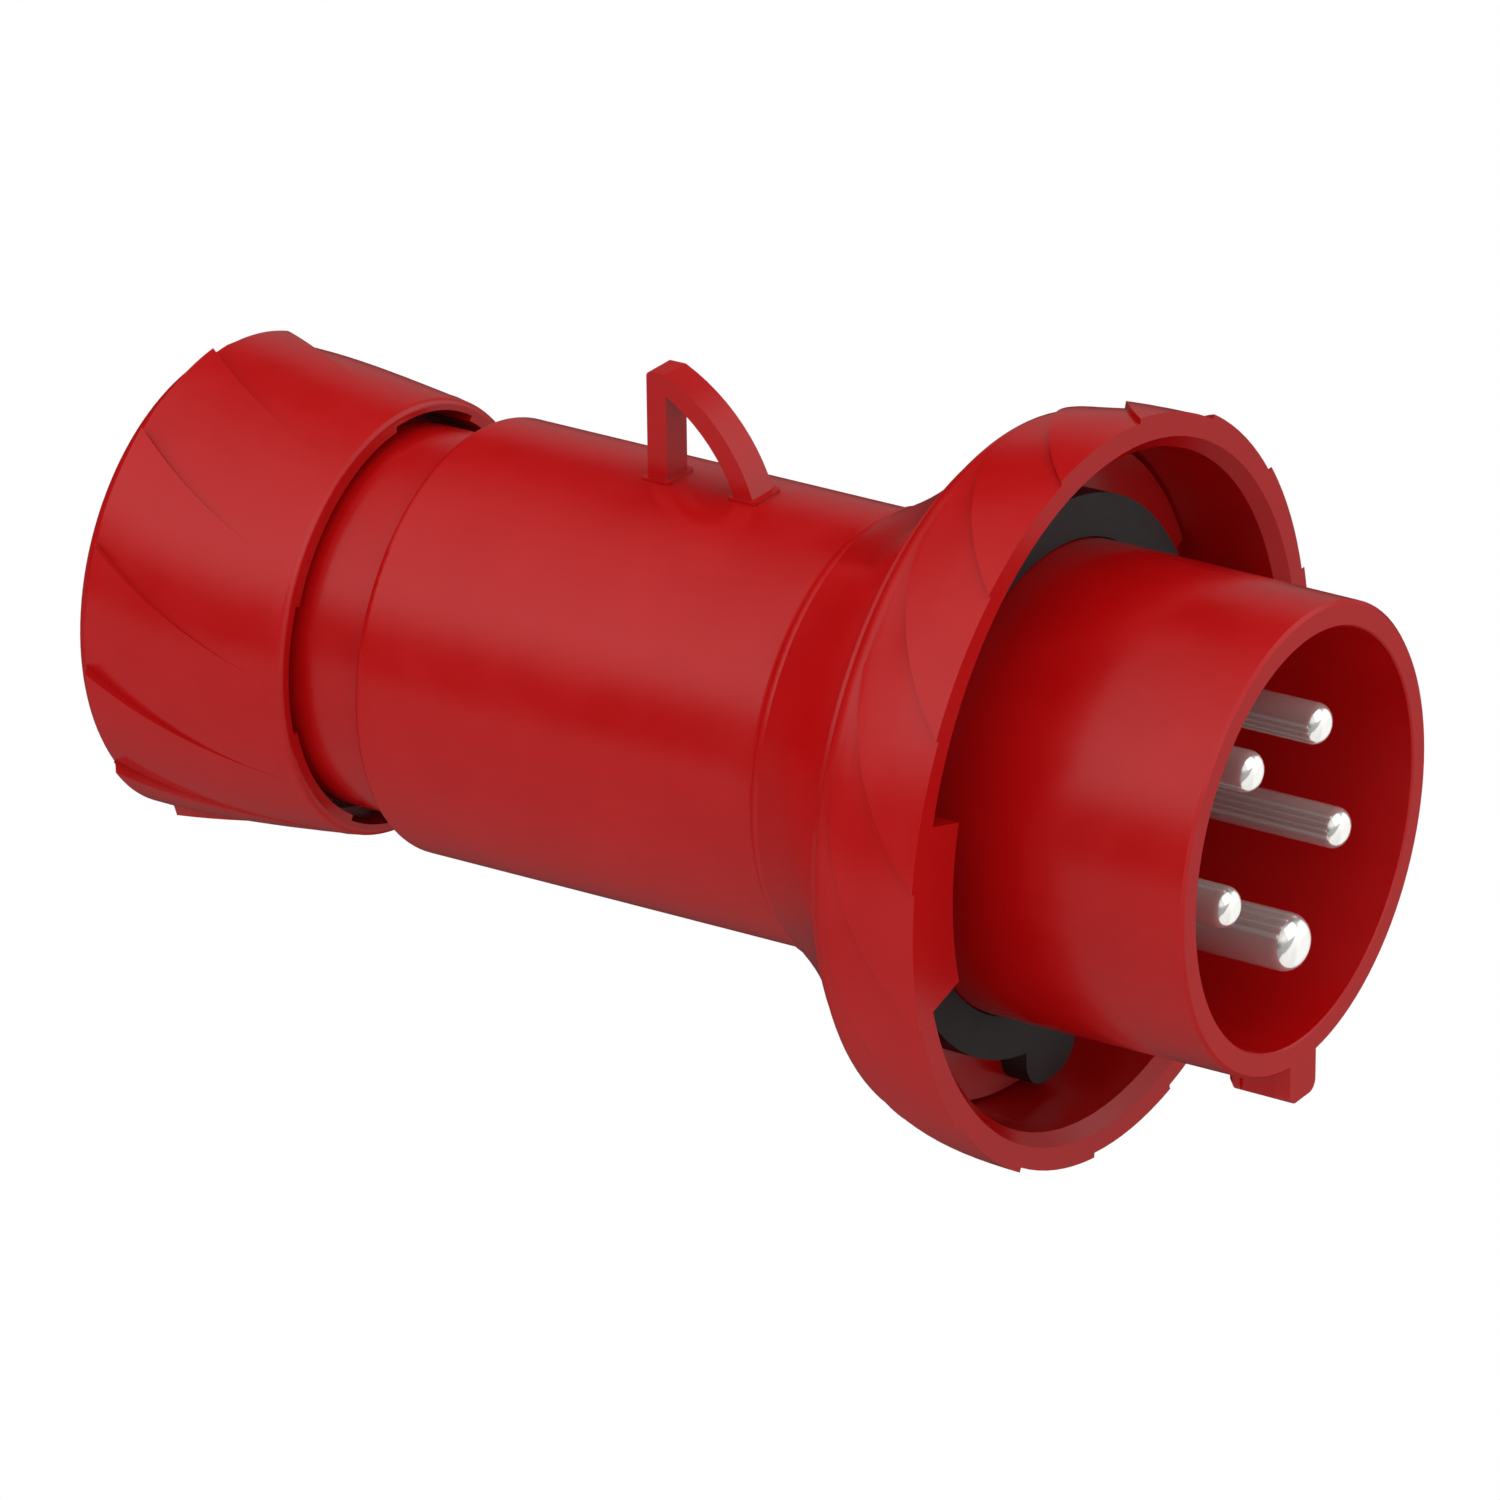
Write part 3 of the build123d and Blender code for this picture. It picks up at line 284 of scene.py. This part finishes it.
def new_material(name, colour, roughness, metallic=0.0):
    """Material with one colour and gloss, its shader, and the piece's own coordinates."""
    made = bpy.data.materials.new(name)
    made.use_nodes = True
    surface = made.node_tree.nodes["Principled BSDF"]
    surface.inputs["Base Color"].default_value = linear(colour)
    surface.inputs["Roughness"].default_value = roughness
    surface.inputs["Metallic"].default_value = metallic
    spot = put(made.node_tree, SHADER + "TexCoord", {}).outputs["Object"]
    return made, made.node_tree, surface, spot


def noise_of(tree, spot, width_mm, detail=NOISE_DETAIL):
    """Noise whose blots are about this wide."""
    blots = {"Vector": spot, "Scale": PER_METRE / width_mm, "Detail": detail}
    return put(tree, SHADER + "TexNoise", blots).outputs[0]


def vary_roughness(tree, surface, pattern, low, high):
    """Let a pattern move the roughness between two values."""
    ends = {"Value": pattern, "From Min": GLOSS_RANGE[0], "From Max": GLOSS_RANGE[1],
            "To Min": low, "To Max": high}
    gloss = put(tree, SHADER + "MapRange", ends).outputs["Result"]
    tree.links.new(gloss, surface.inputs["Roughness"])


def vary_colour(tree, surface, pattern, *colours):
    """Let a pattern blend two colours."""
    blend = put(tree, SHADER + "ValToRGB", {"Fac": pattern})
    for stop, position, colour in zip(blend.color_ramp.elements, COLOUR_RANGE, colours):
        stop.position = position
        stop.color = linear(colour)
    tree.links.new(blend.outputs["Color"], surface.inputs["Base Color"])


def emboss(tree, surface, pattern, depth_mm):
    """Tilt the surface as a relief of this depth would."""
    relief = {"Height": pattern, "Strength": 1.0, "Distance": depth_mm / PER_METRE}
    tree.links.new(put(tree, SHADER + "Bump", relief).outputs[0], surface.inputs["Normal"])


print("material helpers ready")

# %% [markdown]
# ## Red polyamide
# The housing, the handle, the locking ring and the gland nut are injection-moulded polyamide, dyed
# through. The steel mould is spark-eroded, so every face carries its fine even grain and looks
# satin, and the melt leaves faint clouds in the gloss where it cooled first. The real grain of
# 0.05 mm is too fine to show, and is drawn four times as coarse.

# %% Red polyamide
RED = "#b90a0c"
RED_DEEP = "#b4090b"
POLYAMIDE_IOR = 1.53
RED_ROUGHNESS = (0.17, 0.23)
GRAIN_MM = 0.2
GRAIN_DEPTH_MM = 0.0015
CLOUD_MM = 9.0

red, tree, shader, spot = new_material("moulded_red_polyamide", RED, RED_ROUGHNESS[1])
shader.inputs["IOR"].default_value = POLYAMIDE_IOR
clouds = noise_of(tree, spot, CLOUD_MM)
vary_colour(tree, shader, clouds, RED_DEEP, RED)
vary_roughness(tree, shader, clouds, *RED_ROUGHNESS)
emboss(tree, shader, noise_of(tree, spot, GRAIN_MM), GRAIN_DEPTH_MM)
print("red polyamide: grain", GRAIN_MM, "mm, clouds", CLOUD_MM, "mm")

# %% [markdown]
# ## Grey glass-filled polyamide
# The contact carrier, its cap and the clamp basket are polyamide with short glass fibres. The
# fibres float up in the mould, which dulls the gloss and flecks the skin along the way the melt
# ran, here along the plug. Stretched noise draws both.

# %% Grey polyamide
GREY = "#5f6164"
GREY_FLECK = "#7c7e82"
GREY_ROUGHNESS = (0.42, 0.55)
FIBRE_MM = 0.3
FIBRE_DEPTH_MM = 0.004
FIBRE_STRETCH = (1.0, 1.0, 0.2)

grey, tree, shader, spot = new_material("glass_filled_grey_polyamide", GREY, GREY_ROUGHNESS[1])
shader.inputs["IOR"].default_value = POLYAMIDE_IOR
flow = put(tree, SHADER + "Mapping", {"Vector": spot, "Scale": FIBRE_STRETCH}).outputs[0]
fibres = noise_of(tree, flow, FIBRE_MM)
vary_colour(tree, shader, fibres, GREY, GREY_FLECK)
vary_roughness(tree, shader, fibres, *GREY_ROUGHNESS)
emboss(tree, shader, fibres, FIBRE_DEPTH_MM)
print("grey polyamide: fibres", FIBRE_MM, "mm")

# %% [markdown]
# ## Natural acetal
# The slip washer is acetal left in its own milky white, because the plastic runs dry against
# polyamide without sticking. It is slightly clear, so some light travels in it, its gloss is soft,
# and running against the nut has rubbed its faces a little.

# %% Acetal
ACETAL = "#e4e1d6"
ACETAL_IOR = 1.48
ACETAL_ROUGHNESS = (0.30, 0.40)
ACETAL_CLEARNESS = 0.3
ACETAL_DEPTH_MM = 0.8
RUB_MM = 0.6
RUB_DEPTH_MM = 0.002

acetal, tree, shader, spot = new_material("moulded_natural_acetal", ACETAL, ACETAL_ROUGHNESS[1])
shader.inputs["IOR"].default_value = ACETAL_IOR
shader.inputs["Subsurface Weight"].default_value = ACETAL_CLEARNESS
shader.inputs["Subsurface Scale"].default_value = ACETAL_DEPTH_MM / PER_METRE
rub = noise_of(tree, spot, RUB_MM)
vary_roughness(tree, shader, rub, *ACETAL_ROUGHNESS)
emboss(tree, shader, rub, RUB_DEPTH_MM)
print("acetal: light travels", ACETAL_DEPTH_MM, "mm")

# %% [markdown]
# ## Black rubber
# The flange gasket, the housing seal and the gland seal are moulded nitrile rubber. Carbon black
# makes it nearly black, and the talc that keeps it from sticking leaves a grey bloom and a matt
# skin.

# %% Rubber
RUBBER = "#232122"
RUBBER_BLOOM = "#2d2b2c"
RUBBER_IOR = 1.52
RUBBER_ROUGHNESS = (0.48, 0.62)
BLOOM_MM = 3.0
BLOOM_DETAIL = 4.0
SKIN_MM = 0.25
SKIN_DEPTH_MM = 0.006

rubber, tree, shader, spot = new_material("moulded_black_rubber", RUBBER, RUBBER_ROUGHNESS[1])
shader.inputs["IOR"].default_value = RUBBER_IOR
bloom = noise_of(tree, spot, BLOOM_MM, detail=BLOOM_DETAIL)
vary_colour(tree, shader, bloom, RUBBER, RUBBER_BLOOM)
vary_roughness(tree, shader, bloom, *RUBBER_ROUGHNESS)
emboss(tree, shader, noise_of(tree, spot, SKIN_MM), SKIN_DEPTH_MM)
print("rubber: bloom", BLOOM_MM, "mm, skin", SKIN_MM, "mm")

# %% [markdown]
# ## Nickel-plated brass
# The contacts are turned from drawn brass rod and plated with nickel. The rod's fine drawing lines
# run along each contact and show through the plating as faint streaks. The plating is a little
# milky, so it isn't a perfect mirror: a share of its light is scattered.

# %% Nickel
NICKEL = "#e2e0dc"
NICKEL_MIRROR = 0.80
NICKEL_ROUGHNESS = (0.13, 0.16)
DRAWN_LINE_MM = 0.25
DRAWN_DEPTH_MM = 0.0004
DRAWN_STRETCH = (1.0, 1.0, 0.01)

nickel, tree, shader, spot = new_material(
    "drawn_nickel_plated_brass", NICKEL, NICKEL_ROUGHNESS[1], metallic=NICKEL_MIRROR)
drawn = put(tree, SHADER + "Mapping", {"Vector": spot, "Scale": DRAWN_STRETCH}).outputs[0]
lines = noise_of(tree, drawn, DRAWN_LINE_MM)
vary_roughness(tree, shader, lines, *NICKEL_ROUGHNESS)
emboss(tree, shader, lines, DRAWN_DEPTH_MM)
print("nickel: drawing lines", DRAWN_LINE_MM, "mm apart")

# %% [markdown]
# ## Zinc-plated steel
# The carrier screws and the clamp screws are steel with a thin passivated zinc coat, which is
# duller than nickel, slightly blue, and clouded in patches of about half a millimetre.

# %% Zinc
ZINC = "#b9bec4"
ZINC_CLOUD = "#a7abb4"
ZINC_ROUGHNESS = (0.28, 0.42)
PATCH_MM = 0.6
PATCH_DEPTH_MM = 0.002

zinc, tree, shader, spot = new_material(
    "passivated_zinc_plated_steel", ZINC, ZINC_ROUGHNESS[1], metallic=1.0)
patches = noise_of(tree, spot, PATCH_MM)
vary_colour(tree, shader, patches, ZINC, ZINC_CLOUD)
vary_roughness(tree, shader, patches, *ZINC_ROUGHNESS)
emboss(tree, shader, patches, PATCH_DEPTH_MM)
print("zinc: patches", PATCH_MM, "mm")

# %% [markdown]
# ## Thread on the neck
# The gland nut turns on a coarse thread round the handle's neck. It shows when the nut is
# unscrewed. A thread could be cut as a solid, but it is a profile carried along a helix, which is
# what Geometry Nodes do best: a spiral curve, a trapezium as its profile, and a ramp at both ends
# where the ridge runs out. It winds to the right, so the nut moves back by one pitch for each
# turn. The lengths are in metres, and the run-out is a share of the whole curve.

# %% Thread tree
GEOMETRY = "GeometryNode"
THREAD_INPUTS = {
    "Radius": 0.0231,
    "Pitch": 0.003,
    "Turns": 3.7,
    "Start": 0.0149,
    "Ridge Height": 0.0009,
    "Ridge Foot": 0.0015,
    "Ridge Top": 0.0006,
    "Run-out": 0.06,
}
POINTS_PER_TURN = 64

thread_tree = bpy.data.node_groups.new("thread_ridge", "GeometryNodeTree")
interface = thread_tree.interface
sockets = {}
for name, value in THREAD_INPUTS.items():
    socket = interface.new_socket(name, in_out="INPUT", socket_type="NodeSocketFloat")
    socket.default_value = value
    sockets[name] = socket.identifier
finish_socket = interface.new_socket("Finish", in_out="INPUT", socket_type="NodeSocketMaterial")
interface.new_socket("Geometry", in_out="OUTPUT", socket_type="NodeSocketGeometry")
given = put(thread_tree, "NodeGroupInput", {}).outputs
print("thread inputs:", ", ".join(THREAD_INPUTS))

# %% [markdown]
# The spiral is raised to where the thread starts. Its own normal would twist the profile, so it is
# told to keep one edge level. Its radius carries the profile's size, and falls to almost nothing
# at both ends: at nothing at all the caps would be points.

# %% Thread spiral
THINNEST_END = 0.02

rise = math_of(thread_tree, "MULTIPLY", given["Turns"], given["Pitch"])
spiral = put(thread_tree, GEOMETRY + "CurveSpiral", {
    "Resolution": POINTS_PER_TURN, "Rotations": given["Turns"], "Start Radius": given["Radius"],
    "End Radius": given["Radius"], "Height": rise}).outputs[0]
place_up = put(thread_tree, SHADER + "CombineXYZ", {"Z": given["Start"]}).outputs[0]
raised = put(thread_tree, GEOMETRY + "SetPosition", {
    "Geometry": spiral, "Offset": place_up}).outputs[0]
level = put(thread_tree, GEOMETRY + "SetCurveNormal", {"Curve": raised}, mode="Z_UP").outputs[0]
along_curve = put(thread_tree, GEOMETRY + "SplineParameter", {}).outputs["Factor"]
to_end = math_of(thread_tree, "SUBTRACT", 1.0, along_curve)
nearest_end = math_of(thread_tree, "MINIMUM", along_curve, to_end)
grow = math_of(thread_tree, "DIVIDE", nearest_end, given["Run-out"], use_clamp=True)
size_here = math_of(thread_tree, "MAXIMUM", grow, THINNEST_END)
sized = put(thread_tree, GEOMETRY + "SetCurveRadius", {
    "Curve": level, "Radius": size_here}).outputs[0]
print("spiral:", POINTS_PER_TURN, "points for each turn")

# %% [markdown]
# The trapezium stands on the curve with its foot 0.05 mm inside the neck, so no slit shows under
# the ridge. A quarter turn points it away from the plug's axis. The tree ends by making the ridge
# real and giving it the red of the handle.

# %% Thread ridge
FOOT_SINK = 0.00005
QUARTER_TURN = (0.0, 0.0, math.pi / 2)

profile = put(thread_tree, GEOMETRY + "CurvePrimitiveQuadrilateral", {
    "Bottom Width": given["Ridge Foot"], "Top Width": given["Ridge Top"],
    "Height": given["Ridge Height"], "Offset": 0.0}, mode="TRAPEZOID").outputs[0]
half_height = math_of(thread_tree, "MULTIPLY", given["Ridge Height"], 0.5)
outwards = math_of(thread_tree, "SUBTRACT", half_height, FOOT_SINK)
stand = put(thread_tree, SHADER + "CombineXYZ", {"Y": outwards}).outputs[0]
standing = put(thread_tree, GEOMETRY + "Transform", {
    "Geometry": profile, "Translation": stand}).outputs[0]
turned = put(thread_tree, GEOMETRY + "Transform", {
    "Geometry": standing, "Rotation": QUARTER_TURN}).outputs[0]
ridge = put(thread_tree, GEOMETRY + "CurveToMesh", {
    "Curve": sized, "Profile Curve": turned, "Fill Caps": True}).outputs[0]
real = put(thread_tree, GEOMETRY + "RealizeInstances", {"Geometry": ridge}).outputs[0]
dressed = put(thread_tree, GEOMETRY + "SetMaterial", {
    "Geometry": real, "Material": given["Finish"]}).outputs[0]
put(thread_tree, "NodeGroupOutput", {"Geometry": dressed})
print("thread tree:", len(thread_tree.nodes), "nodes")

# %% [markdown]
# The tree runs once on an empty object, and what it makes becomes a plain mesh. The points where
# the caps meet the ridge are welded, so the thread is closed, and its faces are turned outwards.

# %% Thread piece
WELD_DISTANCE = 1e-7

maker = bpy.data.objects.new("neck_thread_maker", bpy.data.meshes.new("neck_thread_seed"))
bpy.context.scene.collection.objects.link(maker)
modifier = maker.modifiers.new("thread", "NODES")
modifier.node_group = thread_tree
for name, value in THREAD_INPUTS.items():
    modifier[sockets[name]] = value
modifier[finish_socket.identifier] = red
evaluated = maker.evaluated_get(bpy.context.evaluated_depsgraph_get())
thread_mesh = bpy.data.meshes.new_from_object(evaluated)
bpy.data.objects.remove(maker)
thread_shape = bmesh.new()
thread_shape.from_mesh(thread_mesh)
bmesh.ops.remove_doubles(thread_shape, verts=thread_shape.verts, dist=WELD_DISTANCE)
bmesh.ops.recalc_face_normals(thread_shape, faces=thread_shape.faces)
thread_shape.to_mesh(thread_mesh)
thread_shape.free()
thread = bpy.data.objects.new("neck_thread", thread_mesh)
bpy.context.scene.collection.objects.link(thread)
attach(thread, "plug_body")
reach = [math.hypot(v.co.x, v.co.y) * PER_METRE for v in thread_mesh.vertices]
levels = [v.co.z * PER_METRE for v in thread_mesh.vertices]
print("thread from", round(min(reach), 2), "to", round(max(reach), 2), "mm radius, z",
      round(min(levels), 2), "to", round(max(levels), 2), "mm,", len(thread_mesh.polygons), "faces")

# %% [markdown]
# ## Finishes on the pieces
# Each CAD piece keeps its shape and only gets the finish that the record names for it.

# %% Finishes
FINISHES = {
    "red_polyamide": red,
    "grey_polyamide": grey,
    "natural_acetal": acetal,
    "black_rubber": rubber,
    "nickel_plated_brass": nickel,
    "zinc_plated_steel": zinc,
}
for part in frame["record"]["subparts"]:
    piece = frame["nodes"][part["node"]]
    piece.data.materials.clear()
    piece.data.materials.append(FINISHES[part["material_slot"]])
print("finished pieces:", len(frame["nodes"]), "and the thread")
